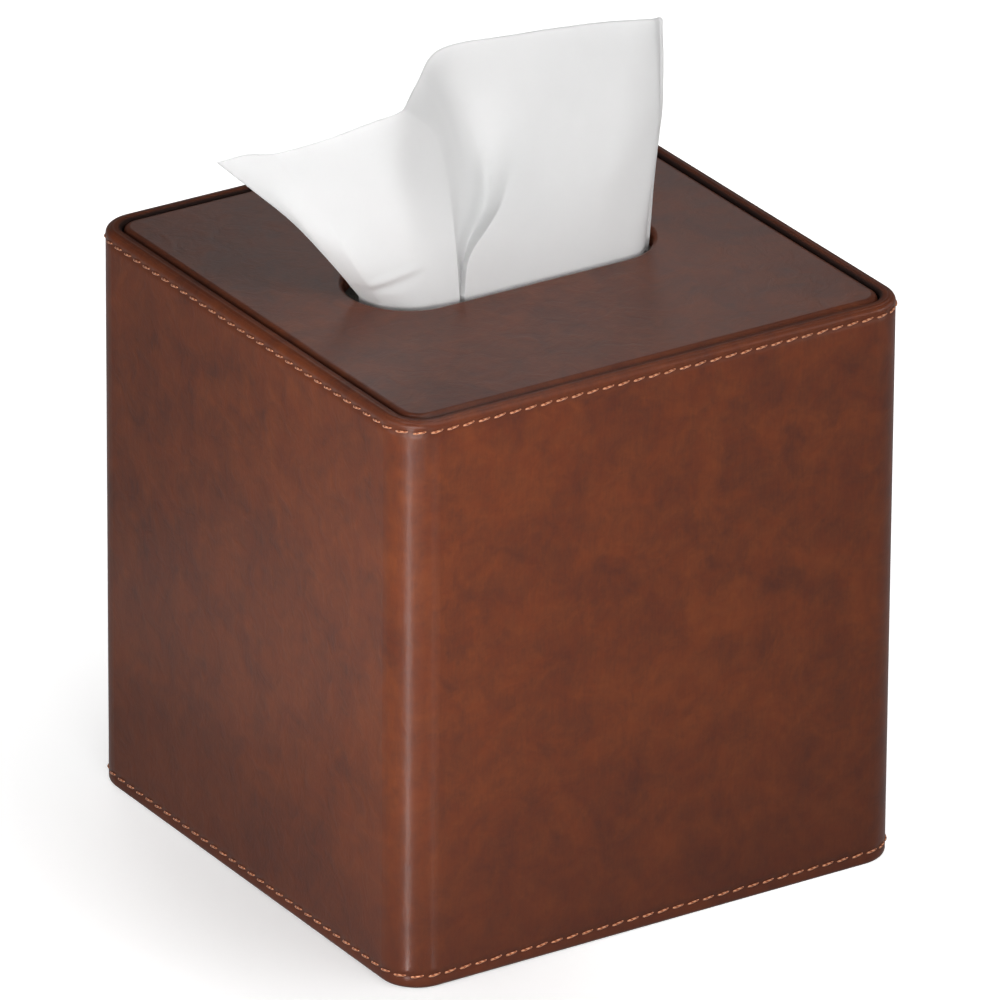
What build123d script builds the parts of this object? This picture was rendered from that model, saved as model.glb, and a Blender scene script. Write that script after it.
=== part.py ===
from build123d import *
import math
import os

# Square tissue box cover wrapped in leather, with an inset top panel and a magnetic bottom flap.
# Millimetres, +Z up. The origin is the middle of the foot, on the surface the cover stands on.
# The slot runs along X, and the flap is hinged along the back (+Y) edge.

# Case, over the leather
CASE_WIDTH = 130.0
CASE_DEPTH = 130.0
CASE_HEIGHT = 135.0
CORNER_RADIUS = 9.0
RIM_ROUND = 1.5
FOOT_ROUND = 1.2
INNER_ROUND = 1.1
INNER_FOOT_CHAMFER = 0.5

# Sheet materials
LEATHER = 0.8
WALL_BOARD = 2.0
LINER_BOARD = 1.5
VELVET = 0.6
TURN_IN = 12.0
SEAM_GAP = 0.3
BUTT_GAP = 0.4

# Scored corners of the wall board, cut from the inside so that the strip bends
KERFS_PER_CORNER = 5
KERF_WIDTH = 0.3
KERF_DEPTH = 1.4

# Top panel, dropped in flush with the rim
PANEL_BOARD = 2.2
PANEL_GROOVE = 0.4
PANEL_EDGE_ROUND = 1.4
SLOT_LENGTH = 75.0
SLOT_WIDTH = 28.0
SLOT_ROUND = 1.4
PANEL_TURN_UNDER = 8.0
SLOT_TURN_UNDER = 6.0
LINING_GAP = 0.2

# Bottom flap, inset between the walls
FLAP_BOARD = 2.3
FLAP_RECESS = 1.2
FLAP_CLEARANCE = 0.6
FLAP_EDGE_ROUND = 1.0
FLAP_STOP_GAP = 0.3
FLAP_TURN_OVER = 9.0

# Hinge strip of the flap and its pull tab
HINGE_LEATHER = 0.6
HINGE_LENGTH = 100.0
HINGE_WALL_HEIGHT = 13.0
HINGE_FLAP_WIDTH = 13.0
HINGE_GAP = 0.3
HINGE_RELIEF_GAP = 0.2
TAB_WIDTH = 16.0
TAB_LENGTH = 22.0
TAB_SETBACK = 0.4

# Bar magnets, one pair in the wall and one in the flap's front edge
MAGNET_LENGTH = 20.0
MAGNET_SPACING = 70.0
WALL_MAGNET_HEIGHT = 3.0
WALL_MAGNET_THICKNESS = 1.2
FLAP_MAGNET_DEPTH = 3.0
FLAP_MAGNET_THICKNESS = 1.5

# Refill carton, which drops in loosely, and the pile of folded tissues in it
REFILL_CLEARANCE = 3.3
REFILL_HEADROOM = 0.8
REFILL_BOARD = 0.5
REFILL_CORNER = 0.8
REFILL_GAP = 0.3
REFILL_OPENING_LENGTH = 88.0
REFILL_OPENING_WIDTH = 42.0
PILE_CLEARANCE = 2.5
PILE_LAYERS = 10
PILE_LAYER_HEIGHT = 4.0
PILE_FOLD_BULGE = 1.0

# Standing tissue: a sheet folded double, so one thickness stands for its two layers and their air.
# Its fold lines run from the left edge to the fold on the right. Each is (x, y) in the slot and at
# three heights above the rim. Under the slot they draw in towards the tail, which is at the foot of
# the sheet. The free edge is (x, height above the rim).
TISSUE_THICKNESS = 1.6
SHEET_HEIGHTS = (0.0, 17.0, 33.0, 52.0)
FOLD_LINES = [
    ((-35.6, -0.6), (-48.3, 5.7), (-64.2, 17.2), (-80.0, 29.0)),
    ((-33.6, -6.3), (-43.6, -3.3), (-52.3, 4.2), (-64.5, 12.0)),
    ((-19.5, -12.5), (-16.9, -7.2), (-16.9, -1.0), (-34.0, -6.3)),
    ((-17.5, -9.6), (-6.5, -0.9), (-4.6, 6.1), (-12.8, 7.6)),
    ((-15.5, -12.5), (-4.5, -7.7), (7.7, 1.2), (10.4, 5.7)),
    ((12.0, -12.5), (19.5, -8.7), (25.8, -4.5), (32.5, 0.4)),
    ((33.6, -6.8), (36.8, -4.2), (39.5, -2.6), (41.0, 0.0)),
]
FOOT_DRAW_IN = 0.75
FOOT_SHIFT_Y = 1.9
FREE_EDGE = [
    (-62.4, 31.4), (-58.4, 34.2), (-54.2, 35.5), (-45.0, 39.0), (-34.8, 42.5), (-27.3, 43.7),
    (-20.9, 45.8), (-11.8, 49.3), (35.4, 49.6), (41.1, 48.4),
]
TAIL_LENGTH = 68.0
TAIL_WIDTH = 9.0
TAIL_CENTRE_Y = -3.0
TAIL_GAP = 0.3
TAIL_DEPTH_BELOW_RIM = 17.0
TAIL_OVERLAP = 6.0

# Values that follow from the sizes above
WALL_THICKNESS = LEATHER + WALL_BOARD + LEATHER
CAVITY_WIDTH = CASE_WIDTH - 2 * WALL_THICKNESS
CAVITY_DEPTH = CASE_DEPTH - 2 * WALL_THICKNESS
CAVITY_RADIUS = CORNER_RADIUS - WALL_THICKNESS
PANEL_THICKNESS = LEATHER + PANEL_BOARD + LEATHER
PANEL_UNDERSIDE = CASE_HEIGHT - PANEL_THICKNESS
FLAP_THICKNESS = LEATHER + FLAP_BOARD + LEATHER
FLAP_TOP = FLAP_RECESS + FLAP_THICKNESS
FLAP_WIDTH = CAVITY_WIDTH - 2 * FLAP_CLEARANCE
FLAP_FRONT_Y = -CAVITY_DEPTH / 2 + FLAP_CLEARANCE
HINGE_Y = CAVITY_DEPTH / 2 - HINGE_LEATHER
HINGE_Z = FLAP_RECESS - HINGE_LEATHER
FLAP_BACK_Y = HINGE_Y - HINGE_GAP
FLAP_DEPTH = FLAP_BACK_Y - FLAP_FRONT_Y
FLAP_CENTRE_Y = (FLAP_BACK_Y + FLAP_FRONT_Y) / 2
LINER_BOTTOM = FLAP_TOP + FLAP_STOP_GAP
REFILL_MARGIN = 2 * (LINER_BOARD + VELVET + REFILL_CLEARANCE)
REFILL_WIDTH = CAVITY_WIDTH - REFILL_MARGIN
REFILL_DEPTH = CAVITY_DEPTH - REFILL_MARGIN
REFILL_BOTTOM = FLAP_TOP + REFILL_GAP
REFILL_TOP = PANEL_UNDERSIDE - REFILL_HEADROOM
PILE_MARGIN = 2 * (REFILL_BOARD + PILE_CLEARANCE)
PILE_BOTTOM = REFILL_BOTTOM + REFILL_BOARD
PILE_TOP = PILE_BOTTOM + PILE_LAYERS * PILE_LAYER_HEIGHT
TAIL_BOTTOM = PILE_TOP + TAIL_GAP
TAIL_TOP = CASE_HEIGHT - TAIL_DEPTH_BELOW_RIM


def save(shape, name):
    export_step(shape, os.path.join("parts", name + ".step"))
    print(name, round(shape.volume, 1))


def block(x_low, x_high, y_low, y_high, z_low, z_high):
    """A box from its six faces."""
    box = Box(x_high - x_low, y_high - y_low, z_high - z_low, align=(Align.MIN, Align.MIN, Align.MIN))
    return Pos(x_low, y_low, z_low) * box


def rounded_prism(width, depth, radius, bottom, top):
    """An upright prism on a rounded rectangle, centred on the Z axis."""
    return Pos(0, 0, bottom) * extrude(RectangleRounded(width, depth, radius), top - bottom)


def stadium_prism(length, width, bottom, top):
    """An upright prism on a stadium whose long axis lies along X."""
    return Pos(0, 0, bottom) * extrude(SlotOverall(length, width), top - bottom)


def round_corner(profile, point, radius):
    """Rounds the corner of a flat profile that lies nearest to a point."""
    corner = profile.vertices().sort_by_distance(point)[0]
    return fillet(corner, radius)


def wall_profile(inset):
    """Square-cut cross-section of the wall, inset on every side. X runs inward and Y runs up."""
    width = WALL_THICKNESS - 2 * inset
    height = CASE_HEIGHT - 2 * inset
    return Pos(WALL_THICKNESS / 2, CASE_HEIGHT / 2) * Rectangle(width, height)


def sheet_profile():
    """Cross-section of the leather round the wall board, up over the rim and under the foot."""
    profile = round_corner(wall_profile(0), (0, CASE_HEIGHT, 0), RIM_ROUND)
    profile = round_corner(profile, (0, 0, 0), FOOT_ROUND)
    profile = round_corner(profile, (WALL_THICKNESS, CASE_HEIGHT, 0), INNER_ROUND)
    inner_foot = profile.vertices().sort_by_distance((WALL_THICKNESS, 0, 0))[0]
    profile = chamfer(inner_foot, INNER_FOOT_CHAMFER)
    bare_height = CASE_HEIGHT - 2 * TURN_IN
    bare_stretch = Pos(WALL_THICKNESS, CASE_HEIGHT / 2) * Rectangle(2 * LEATHER, bare_height)
    return profile - wall_profile(LEATHER) - bare_stretch


def around_case(profile, gap):
    """Sweeps a wall cross-section round the case, from the back's middle and back to it."""
    x, y = CASE_WIDTH / 2, CASE_DEPTH / 2
    corners = [(-gap / 2, y), (-x, y), (-x, -y), (x, -y), (x, y), (gap / 2, y)]
    path = FilletPolyline(*corners, radius=CORNER_RADIUS)
    start = Plane(origin=(-gap / 2, y, 0), x_dir=(0, -1, 0), z_dir=(-1, 0, 0))
    return sweep(start * profile, path=path)


def kerfs():
    """Saw cuts in the wall board's inside, fanned round each upright corner."""
    inner_radius = CORNER_RADIUS - LEATHER - WALL_BOARD
    reach = KERF_DEPTH * 2
    cuts = []
    for x_side, y_side, first_angle in ((1, 1, 0), (-1, 1, 90), (-1, -1, 180), (1, -1, 270)):
        centre_x = x_side * (CASE_WIDTH / 2 - CORNER_RADIUS)
        centre_y = y_side * (CASE_DEPTH / 2 - CORNER_RADIUS)
        for number in range(1, KERFS_PER_CORNER + 1):
            angle = first_angle + 90 * number / (KERFS_PER_CORNER + 1)
            cut = block(
                inner_radius + KERF_DEPTH - reach, inner_radius + KERF_DEPTH,
                -KERF_WIDTH / 2, KERF_WIDTH / 2, 0, CASE_HEIGHT,
            )
            cuts.append(Pos(centre_x, centre_y, 0) * Rot(0, 0, angle) * cut)
    return cuts


def magnet_pair(bar_block):
    """One bar on each side of the middle. bar_block gives the bar for its low and high X."""
    bars = []
    for side in (-1, 1):
        middle = side * MAGNET_SPACING / 2
        bars.append(bar_block(middle - MAGNET_LENGTH / 2, middle + MAGNET_LENGTH / 2))
    return bars


def wall_magnet(x_low, x_high):
    back_y = -CAVITY_DEPTH / 2 - LEATHER
    middle_z = FLAP_RECESS + FLAP_THICKNESS / 2
    return block(
        x_low, x_high, back_y - WALL_MAGNET_THICKNESS, back_y,
        middle_z - WALL_MAGNET_HEIGHT / 2, middle_z + WALL_MAGNET_HEIGHT / 2,
    )


def flap_magnet(x_low, x_high):
    front_y = FLAP_FRONT_Y + LEATHER
    middle_z = FLAP_RECESS + FLAP_THICKNESS / 2
    return block(
        x_low, x_high, front_y, front_y + FLAP_MAGNET_DEPTH,
        middle_z - FLAP_MAGNET_THICKNESS / 2, middle_z + FLAP_MAGNET_THICKNESS / 2,
    )


def make_case():
    """Leather sheet and bent board of the four walls."""
    save(around_case(sheet_profile(), SEAM_GAP), "outer_leather")

    magnets = magnet_pair(wall_magnet)
    board = around_case(wall_profile(LEATHER), BUTT_GAP) - kerfs() - magnets
    save(board, "wall_board")
    save(Compound(children=magnets), "wall_magnets")


def make_liners():
    """Four liner boards, which carry the top panel and stop the flap, each with its velvet."""
    cavity = rounded_prism(CAVITY_WIDTH, CAVITY_DEPTH, CAVITY_RADIUS, LINER_BOTTOM, PANEL_UNDERSIDE)
    x, y = CAVITY_WIDTH / 2, CAVITY_DEPTH / 2
    low, high = LINER_BOTTOM, PANEL_UNDERSIDE
    skin = LINER_BOARD + VELVET
    front = block(-x, x, -y, -y + LINER_BOARD, low, high)
    side_y = y - LINER_BOARD
    right = block(x - LINER_BOARD, x, -side_y, side_y, low, high)
    relief = block(
        -HINGE_LENGTH / 2 - HINGE_RELIEF_GAP, HINGE_LENGTH / 2 + HINGE_RELIEF_GAP,
        HINGE_Y, y, low, HINGE_Z + HINGE_WALL_HEIGHT + HINGE_RELIEF_GAP,
    )
    save(front & cavity, "front_liner")
    save((mirror(front, about=Plane.XZ) & cavity) - relief, "back_liner")
    save(right & cavity, "right_liner")
    save(mirror(right, about=Plane.YZ) & cavity, "left_liner")

    side_x = x - LINER_BOARD
    front_velvet = block(-side_x, side_x, -y + LINER_BOARD, -y + skin, low, high)
    right_velvet = block(x - skin, x - LINER_BOARD, -(y - skin), y - skin, low, high)
    save(front_velvet & cavity, "front_velvet")
    save(mirror(front_velvet, about=Plane.XZ) & cavity, "back_velvet")
    save(right_velvet & cavity, "right_velvet")
    save(mirror(right_velvet, about=Plane.YZ) & cavity, "left_velvet")


def round_show_edges(form, edge_round, slot_round):
    """Rounds the show face's outer edges, and those of its slot if it has one."""
    show_face = form.faces().sort_by(Axis.Z)[-1]
    slot_edges = [edge for wire in show_face.inner_wires() for edge in wire.edges()]
    form = fillet(show_face.outer_wire().edges(), edge_round)
    if slot_edges:
        mouth = form.faces().sort_by(Axis.Z)[-1].inner_wires()[0]
        form = fillet(mouth.edges(), slot_round)
    return form


def wrapped_panel(width, depth, radius, board_thickness, edge_round, turn_under, slotted):
    """A board wrapped in leather, show face up at Z = 0: its board, leather and lining."""
    bottom = -(LEATHER + board_thickness + LEATHER)
    outside = rounded_prism(width, depth, radius, bottom, 0)
    board = rounded_prism(
        width - 2 * LEATHER, depth - 2 * LEATHER, radius - LEATHER, bottom + LEATHER, -LEATHER
    )
    margin = 2 * turn_under
    window = rounded_prism(width - margin, depth - margin, radius, bottom, bottom + LEATHER)
    margin += 2 * LINING_GAP
    lining_bottom = bottom + LEATHER - VELVET
    lining = rounded_prism(width - margin, depth - margin, radius, lining_bottom, bottom + LEATHER)
    if slotted:
        outside -= stadium_prism(SLOT_LENGTH, SLOT_WIDTH, bottom, 0)
        lap = 2 * LEATHER
        board -= stadium_prism(SLOT_LENGTH + lap, SLOT_WIDTH + lap, bottom, 0)
        lap = 2 * SLOT_TURN_UNDER
        window -= stadium_prism(SLOT_LENGTH + lap, SLOT_WIDTH + lap, bottom, 0)
        lap += 2 * LINING_GAP
        lining -= stadium_prism(SLOT_LENGTH + lap, SLOT_WIDTH + lap, bottom, 0)
    outside = round_show_edges(outside, edge_round, SLOT_ROUND)
    return board, outside - board - window, lining


def make_top_panel():
    """Inset top panel, its slot rolled in leather."""
    width = CAVITY_WIDTH - 2 * PANEL_GROOVE
    depth = CAVITY_DEPTH - 2 * PANEL_GROOVE
    pieces = wrapped_panel(
        width, depth, CAVITY_RADIUS - PANEL_GROOVE, PANEL_BOARD, PANEL_EDGE_ROUND, PANEL_TURN_UNDER, True
    )
    for piece, name in zip(pieces, ("top_board", "top_leather", "top_velvet")):
        save(Pos(0, 0, CASE_HEIGHT) * piece, name)


def make_flap():
    """Bottom flap, its show face down, with its magnets, hinge leaves and pull tab."""
    board, leather, lining = wrapped_panel(
        FLAP_WIDTH, FLAP_DEPTH, CAVITY_RADIUS - FLAP_CLEARANCE, FLAP_BOARD, FLAP_EDGE_ROUND,
        FLAP_TURN_OVER, False,
    )
    place = Pos(0, FLAP_CENTRE_Y, FLAP_RECESS) * Rot(180, 0, 0)
    magnets = magnet_pair(flap_magnet)
    save(place * board - magnets, "flap_board")
    save(place * leather, "flap_leather")
    save(place * lining, "flap_velvet")
    save(Compound(children=magnets), "flap_magnets")

    half = HINGE_LENGTH / 2
    cavity_back = CAVITY_DEPTH / 2
    save(block(-half, half, HINGE_Y, cavity_back, HINGE_Z, HINGE_Z + HINGE_WALL_HEIGHT), "hinge_wall_leaf")
    save(
        block(-half, half, FLAP_BACK_Y - HINGE_FLAP_WIDTH, FLAP_BACK_Y, HINGE_Z, FLAP_RECESS),
        "hinge_flap_leaf",
    )
    tab_outline = Rectangle(TAB_WIDTH, TAB_LENGTH, align=(Align.CENTER, Align.MIN))
    tab_outline = round_corner(tab_outline, (-TAB_WIDTH, 0, 0), TAB_WIDTH / 2 - TAB_SETBACK)
    tab_outline = round_corner(tab_outline, (TAB_WIDTH, 0, 0), TAB_WIDTH / 2 - TAB_SETBACK)
    tab = extrude(tab_outline, HINGE_LEATHER)
    save(Pos(0, FLAP_FRONT_Y + TAB_SETBACK, HINGE_Z) * tab, "flap_pull_tab")


def make_refill():
    """Refill carton with its oval opening, and the pile of interfolded tissues."""
    lap = 2 * REFILL_BOARD
    lid_underside = REFILL_TOP - REFILL_BOARD
    carton = rounded_prism(REFILL_WIDTH, REFILL_DEPTH, REFILL_CORNER, REFILL_BOTTOM, REFILL_TOP)
    carton -= rounded_prism(
        REFILL_WIDTH - lap, REFILL_DEPTH - lap, REFILL_CORNER - REFILL_BOARD, PILE_BOTTOM, lid_underside
    )
    carton -= stadium_prism(REFILL_OPENING_LENGTH, REFILL_OPENING_WIDTH, lid_underside, REFILL_TOP)
    save(carton, "refill_carton")

    # Each layer's folds bulge out a little at both ends of the pile
    bulge = PILE_FOLD_BULGE
    x = (REFILL_WIDTH - PILE_MARGIN) / 2 - bulge
    levels = [PILE_BOTTOM + number * PILE_LAYER_HEIGHT for number in range(PILE_LAYERS + 1)]
    outline = [Line((-x, levels[0]), (x, levels[0]))]
    for low, high in zip(levels, levels[1:]):
        outline.append(ThreePointArc((x, low), (x + bulge, (low + high) / 2), (x, high)))
        outline.append(ThreePointArc((-x, low), (-x - bulge, (low + high) / 2), (-x, high)))
    outline.append(Line((-x, levels[-1]), (x, levels[-1])))
    side_view = Plane.XZ * make_face(Curve() + outline)
    save(extrude(side_view, (REFILL_DEPTH - PILE_MARGIN) / 2, both=True), "tissue_pile")


def turn_at(points, index):
    """Signed turn of a line at one of its inner points, in radians. Left is positive."""
    (x0, y0), (x1, y1), (x2, y2) = points[index - 1:index + 2]
    before = math.atan2(y1 - y0, x1 - x0)
    after = math.atan2(y2 - y1, x2 - x1)
    return (after - before + math.pi) % (2 * math.pi) - math.pi


def beside(points, offset):
    """The line moved sideways by an offset, its corners mitred. Positive moves it left."""
    moved = []
    last = len(points) - 1
    for index, (x, y) in enumerate(points):
        first = max(index - 1, 0)
        turn = turn_at(points, index) if 0 < index < last else 0.0
        before = points[first + 1] if index == 0 else points[index]
        heading = math.atan2(before[1] - points[first][1], before[0] - points[first][0])
        side = heading + turn / 2 + math.pi / 2
        reach = offset / math.cos(turn / 2)
        moved.append((x + reach * math.cos(side), y + reach * math.sin(side)))
    return moved


def sheet_section(points, level):
    """Cross-section of the folded sheet at one height, a band along the line of its folds."""
    half = TISSUE_THICKNESS / 2
    outline = Polyline(*beside(points, -half), *beside(points, half)[::-1], close=True)
    return Pos(0, 0, level) * make_face(outline)


def make_tissue():
    """The standing tissue: a double sheet that opens out of the slot, and its folded tail."""
    foot_level = TAIL_TOP - TAIL_OVERLAP
    levels = [foot_level] + [CASE_HEIGHT + height for height in SHEET_HEIGHTS]
    lines = list(zip(*FOLD_LINES))
    foot_line = [(x * FOOT_DRAW_IN, y * FOOT_DRAW_IN + FOOT_SHIFT_Y) for x, y in lines[0]]
    sections = [sheet_section(line, level) for line, level in zip([foot_line] + lines, levels)]
    sheet = loft(sections, ruled=True)

    # The free edge, seen from the front, trims the sheet
    edge = [(x, CASE_HEIGHT + height) for x, height in FREE_EDGE]
    reach = CASE_WIDTH
    trim = [(-reach, foot_level), (-reach, edge[0][1])] + edge + [(reach, edge[-1][1]), (reach, foot_level)]
    sheet &= extrude(Plane.XZ * Polygon(*trim, align=None), reach, both=True)

    tail = stadium_prism(TAIL_LENGTH, TAIL_WIDTH, TAIL_BOTTOM, TAIL_TOP)
    save(sheet + Pos(0, TAIL_CENTRE_Y, 0) * tail, "tissue_sheet")


os.makedirs("parts", exist_ok=True)
make_case()
make_liners()
make_top_panel()
make_flap()
make_refill()
make_tissue()
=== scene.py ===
import math

import bmesh
import bpy
import numpy as np
from mathutils import Matrix, Vector


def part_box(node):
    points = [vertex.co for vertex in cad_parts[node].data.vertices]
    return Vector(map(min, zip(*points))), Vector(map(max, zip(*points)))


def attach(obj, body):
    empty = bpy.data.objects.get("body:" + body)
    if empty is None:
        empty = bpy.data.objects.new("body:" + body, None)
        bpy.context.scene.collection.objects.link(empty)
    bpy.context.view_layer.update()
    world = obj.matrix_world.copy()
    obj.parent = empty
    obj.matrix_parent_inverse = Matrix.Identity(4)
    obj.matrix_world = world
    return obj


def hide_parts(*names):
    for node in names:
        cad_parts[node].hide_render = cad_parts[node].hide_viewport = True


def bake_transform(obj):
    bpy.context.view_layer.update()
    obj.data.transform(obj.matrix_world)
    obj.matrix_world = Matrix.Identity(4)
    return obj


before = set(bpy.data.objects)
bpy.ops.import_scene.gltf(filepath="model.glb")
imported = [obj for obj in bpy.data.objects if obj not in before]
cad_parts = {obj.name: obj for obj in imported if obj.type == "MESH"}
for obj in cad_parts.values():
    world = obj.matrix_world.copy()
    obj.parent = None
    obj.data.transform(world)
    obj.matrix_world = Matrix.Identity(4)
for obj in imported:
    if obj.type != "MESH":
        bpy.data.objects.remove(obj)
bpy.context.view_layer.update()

# Leather tissue box cover with a standing tissue. Metres, +Z up, the middle of the foot at the origin.
MM = 0.001

# Outside of the case. The rim's middle is measured from the square that the corners' centres span.
CASE_HALF = 65 * MM
CORNER_RADIUS = 9 * MM
RIM_MIDDLE = 7.2 * MM

# The two stitched rows round it. A row starts 0.76 of a stitch from the front's left end, and each stitch
# tapers a little along its length.
RIM_ROW_HEIGHT = 132.75 * MM
FOOT_ROW_HEIGHT = 3.15 * MM
STITCHES_PER_ROW = 128
STITCH_START = 0.76
STITCH_LENGTH = 3.05 * MM
STITCH_RADIUS = 0.245 * MM
STITCH_RISE = 0.20 * MM
STITCH_SINK = 0.12 * MM
STITCH_SLANT = math.radians(7)
SLANT_SPREAD = 0.25
SLANT_STEP = 2.4
STITCH_TAPER = 0.14
STITCH_FULLNESS = 1.08
STITCH_STATIONS = (-1, -0.93, -0.7, -0.35, 0, 0.35, 0.7, 0.93, 1)
THREAD_SIDES = 6
TWIST_PER_STITCH = 4
WELD_DISTANCE = 0.001 * MM

# Hinge strip of the bottom flap. Its line is the flap's hinge axis, as (y, z). The strip is a little thinner
# than the room that it has, so that it touches neither wall nor flap.
HINGE_LENGTH = 100 * MM
HINGE_LINE = (60.8 * MM, 0.6 * MM)
STRIP_THICKNESS = 0.6 * MM
STRIP_FULLNESS = 0.98
STRIP_BEND = 0.5 * MM
STRIP_TOP = 13.6 * MM
STRIP_END = 47.5 * MM
POINTS_DOWN, POINTS_ROUND, POINTS_ALONG, STRIP_COLUMNS = 14, 12, 16, 21

# Tissue: cut 210 by 213 mm and folded double, the fold on the right. The front layer's fold lines in mm,
# from the left edge to the fold, each from the slot up to the top edge. The lower and upper softness of a
# line follow its points: 1 is a smooth wave, 0 a sharp crease.
PAPER_THICKNESS = 0.14 * MM
SLOT_LEVEL = 135.0
FOLD_LINES = [
    ([(-36.3, -0.4, 135), (-42.9, 0.8, 144.1), (-49.1, 6.5, 152.9), (-56.1, 11.5, 160.2),
      (-62.4, 16.0, 166.4)], 1, 1),
    ([(-35.6, -3.4, 135), (-45.6, 0.4, 149.0), (-58.4, 11.0, 169.2)], 1, 0.8),
    ([(-34.6, -6.6, 135), (-42.0, -5.0, 147.7), (-45.0, -1.5, 155.5), (-49.3, 2.0, 162.4),
      (-54.2, 5.5, 170.5)], 0.5, 0.5),
    ([(-29.6, -11.0, 135), (-45.0, -0.5, 174.0)], 1, 1),
    ([(-24.0, -12.6, 135), (-34.8, -4.5, 177.5)], 1, 1),
    ([(-18.3, -12.9, 135), (-17.6, -9.9, 147.0), (-15.9, -3.0, 161.1), (-16.6, -0.8, 167.5),
      (-22.1, -2.5, 174.1), (-27.3, -4.2, 178.7)], 0.1, 0.5),
    ([(-17.9, -12.1, 135), (-15.9, -8.6, 145.8), (-11.6, -1.8, 157.6), (-11.0, 2.4, 166.2),
      (-15.5, 2.6, 176.0), (-20.9, 1.0, 180.8)], 1, 1),
    ([(-17.5, -11.5, 135), (-13.6, -8.0, 143.6), (-5.6, -2.3, 150.0), (-3.1, 2.6, 157.1),
      (-4.3, 6.0, 167.0), (-7.6, 7.3, 176.6), (-11.8, 7.4, 184.3)], 0.8, 1),
    ([(-17.0, -12.9, 135), (-15.3, -12.3, 143.8), (-9.4, -10.3, 148.6), (-4.9, -8.0, 151.6),
      (-1.7, -5.8, 154.6), (2.4, -3.0, 159.0), (7.5, 0.8, 166.8), (9.6, 3.6, 175.3),
      (10.2, 5.4, 184.6)], 0.1, 1),
    ([(-7.0, -13.1, 135), (-1.0, -10.4, 145.0), (8.0, -6.2, 154.6), (15.2, -1.4, 167.3),
      (20.9, 3.4, 184.6)], 1, 1),
    ([(7.0, -13.1, 135), (29.0, 1.0, 184.7)], 1, 1),
    ([(20.0, -13.0, 135), (35.4, -1.6, 184.6)], 1, 1),
    ([(30.0, -11.4, 135), (38.0, -5.0, 160.0), (39.1, -1.6, 184.0)], 0.8, 0.8),
    ([(34.2, -6.6, 135), (36.8, -4.4, 148.8), (39.6, -3.0, 165.3), (40.9, -0.9, 178.0),
      (41.1, -0.3, 183.4)], 1, 1),
]
# The back layer follows these of the front's lines from the fold to the left, set off from them, and its top
# edge stands a little lower. A line's softness changes over this part of its way up. The waves and the drop
# of the back layer grow with the height, up to the standing height.
BACK_LINES = (13, 12, 11, 10, 9, 7, 6, 5, 4, 3, 2)
LAYER_SHIFT = (0.75, 1.18, 0.0)
LAYER_GAP = 1.4
BACK_DROP = 2
SOFTNESS_CHANGE = (0.25, 0.6)
STANDING_HEIGHT = 50
STANDING_ROWS, FRONT_COLUMNS, FOLD_STEPS, BACK_COLUMNS = 90, 220, 9, 150

# The paper's pattern lies flat: it is measured across the top edge and down one column of the front layer
PATTERN_COLUMN = 60
PATTERN_SIZE = 200

# Creases of the standing part, seen from the front, in mm: from, to, width, and how far it stands out
CREASES = [
    ((-39.3, 139.4), (-27.6, 143.6), 1.1, 0.6),
    ((-38.3, 138.0), (-27.0, 141.8), 1.3, -0.5),
    ((33.0, 172.0), (12.0, 152.5), 3.5, -0.5),
    ((36.0, 164.0), (16.0, 147.5), 3.5, 0.4),
    ((9.7, 162.5), (7.4, 153.0), 2.6, -0.35),
    ((-30.5, 176), (-26.5, 150), 5.0, 0.4),
]
CREASE_END = 0.05
CREASE_FADE = 0.7
WAVE_HEIGHT = 0.16

# The part in the carton, in mm: drawn together in pleats, and folded up behind itself. A row of pleats has a
# depth, a number across and a start. The back layer's free edge lies at a small share of the width.
TAIL_LEVEL = 118.0
TAIL_HALF_WIDTH = 32.5
TAIL_FRONT_Y = -5.4
TAIL_FOLD_LEVEL = 49.3
TAIL_FOLD_RADIUS = 2.2
TAIL_PLEATS = ((2.0, 5.5, 0), (0.6, 9, 1))
BACK_EDGE_SHARE = 0.08
NECK_ROWS, TAIL_ROWS, TURN_STEPS = 19, 24, 12

# Pile in the carton. Its layers bulge at the folded ends and at the cut sides, and step in and out, in mm.
# Rings that shrink to the middle close its top and its base.
PILE_LAYERS = 20
ROWS_PER_LAYER = 6
PILE_POINTS = 96
END_BULGE, SIDE_BULGE = 0.8, 0.25
END_STEP, SIDE_STEP = 0.5, 0.7
PILE_UNEVEN = 2.399
PILE_CAP = (0.97, 0.5, 0.0)
PILE_LINE_SPACING = 0.5 * MM

# Leather's colours, from its darkest clouds to its lightest, and where each stands on the tone's scale
LEATHER_TONES = [
    (0.305, (0.088, 0.0265, 0.0158)), (0.435, (0.133, 0.036, 0.0158)), (0.565, (0.180, 0.046, 0.0165)),
]
LEATHER_WARM = (0.150, 0.030, 0.012)
# Painted shade: the colour that the leather darkens to towards the foot
PAINTED_FOOT_SHADE = (0.075, 0.022, 0.014)
# Painted shade: the colour of the groove inside the rim
PAINTED_GROOVE_SHADE = (0.012, 0.005, 0.004)
# Painted shade: the colour along the stitches' sunken channels
PAINTED_CHANNEL_SHADE = (0.080, 0.022, 0.010)
# Thread: the painted shade in its twist's grooves, and its own colour
THREAD_TWIST_SHADE_AND_COLOUR = (0.30, 0.075, 0.025), (0.66, 0.28, 0.14)

# Heights between which the painted shade at the foot fades out, the stitches' channel, and the rolled rim:
# where its parabola ends, as a distance squared, and its fall in mm for each square metre of that
FOOT_PAINTED_SHADE_HEIGHTS = (-0.010, 0.060)
CHANNEL_WIDTH = 0.9 * MM
RIM_ROLL_END = 9e-7
RIM_ROLL_FALL = -5e5
FULL_TURN = 6.2832
EULER = 2.718

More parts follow.
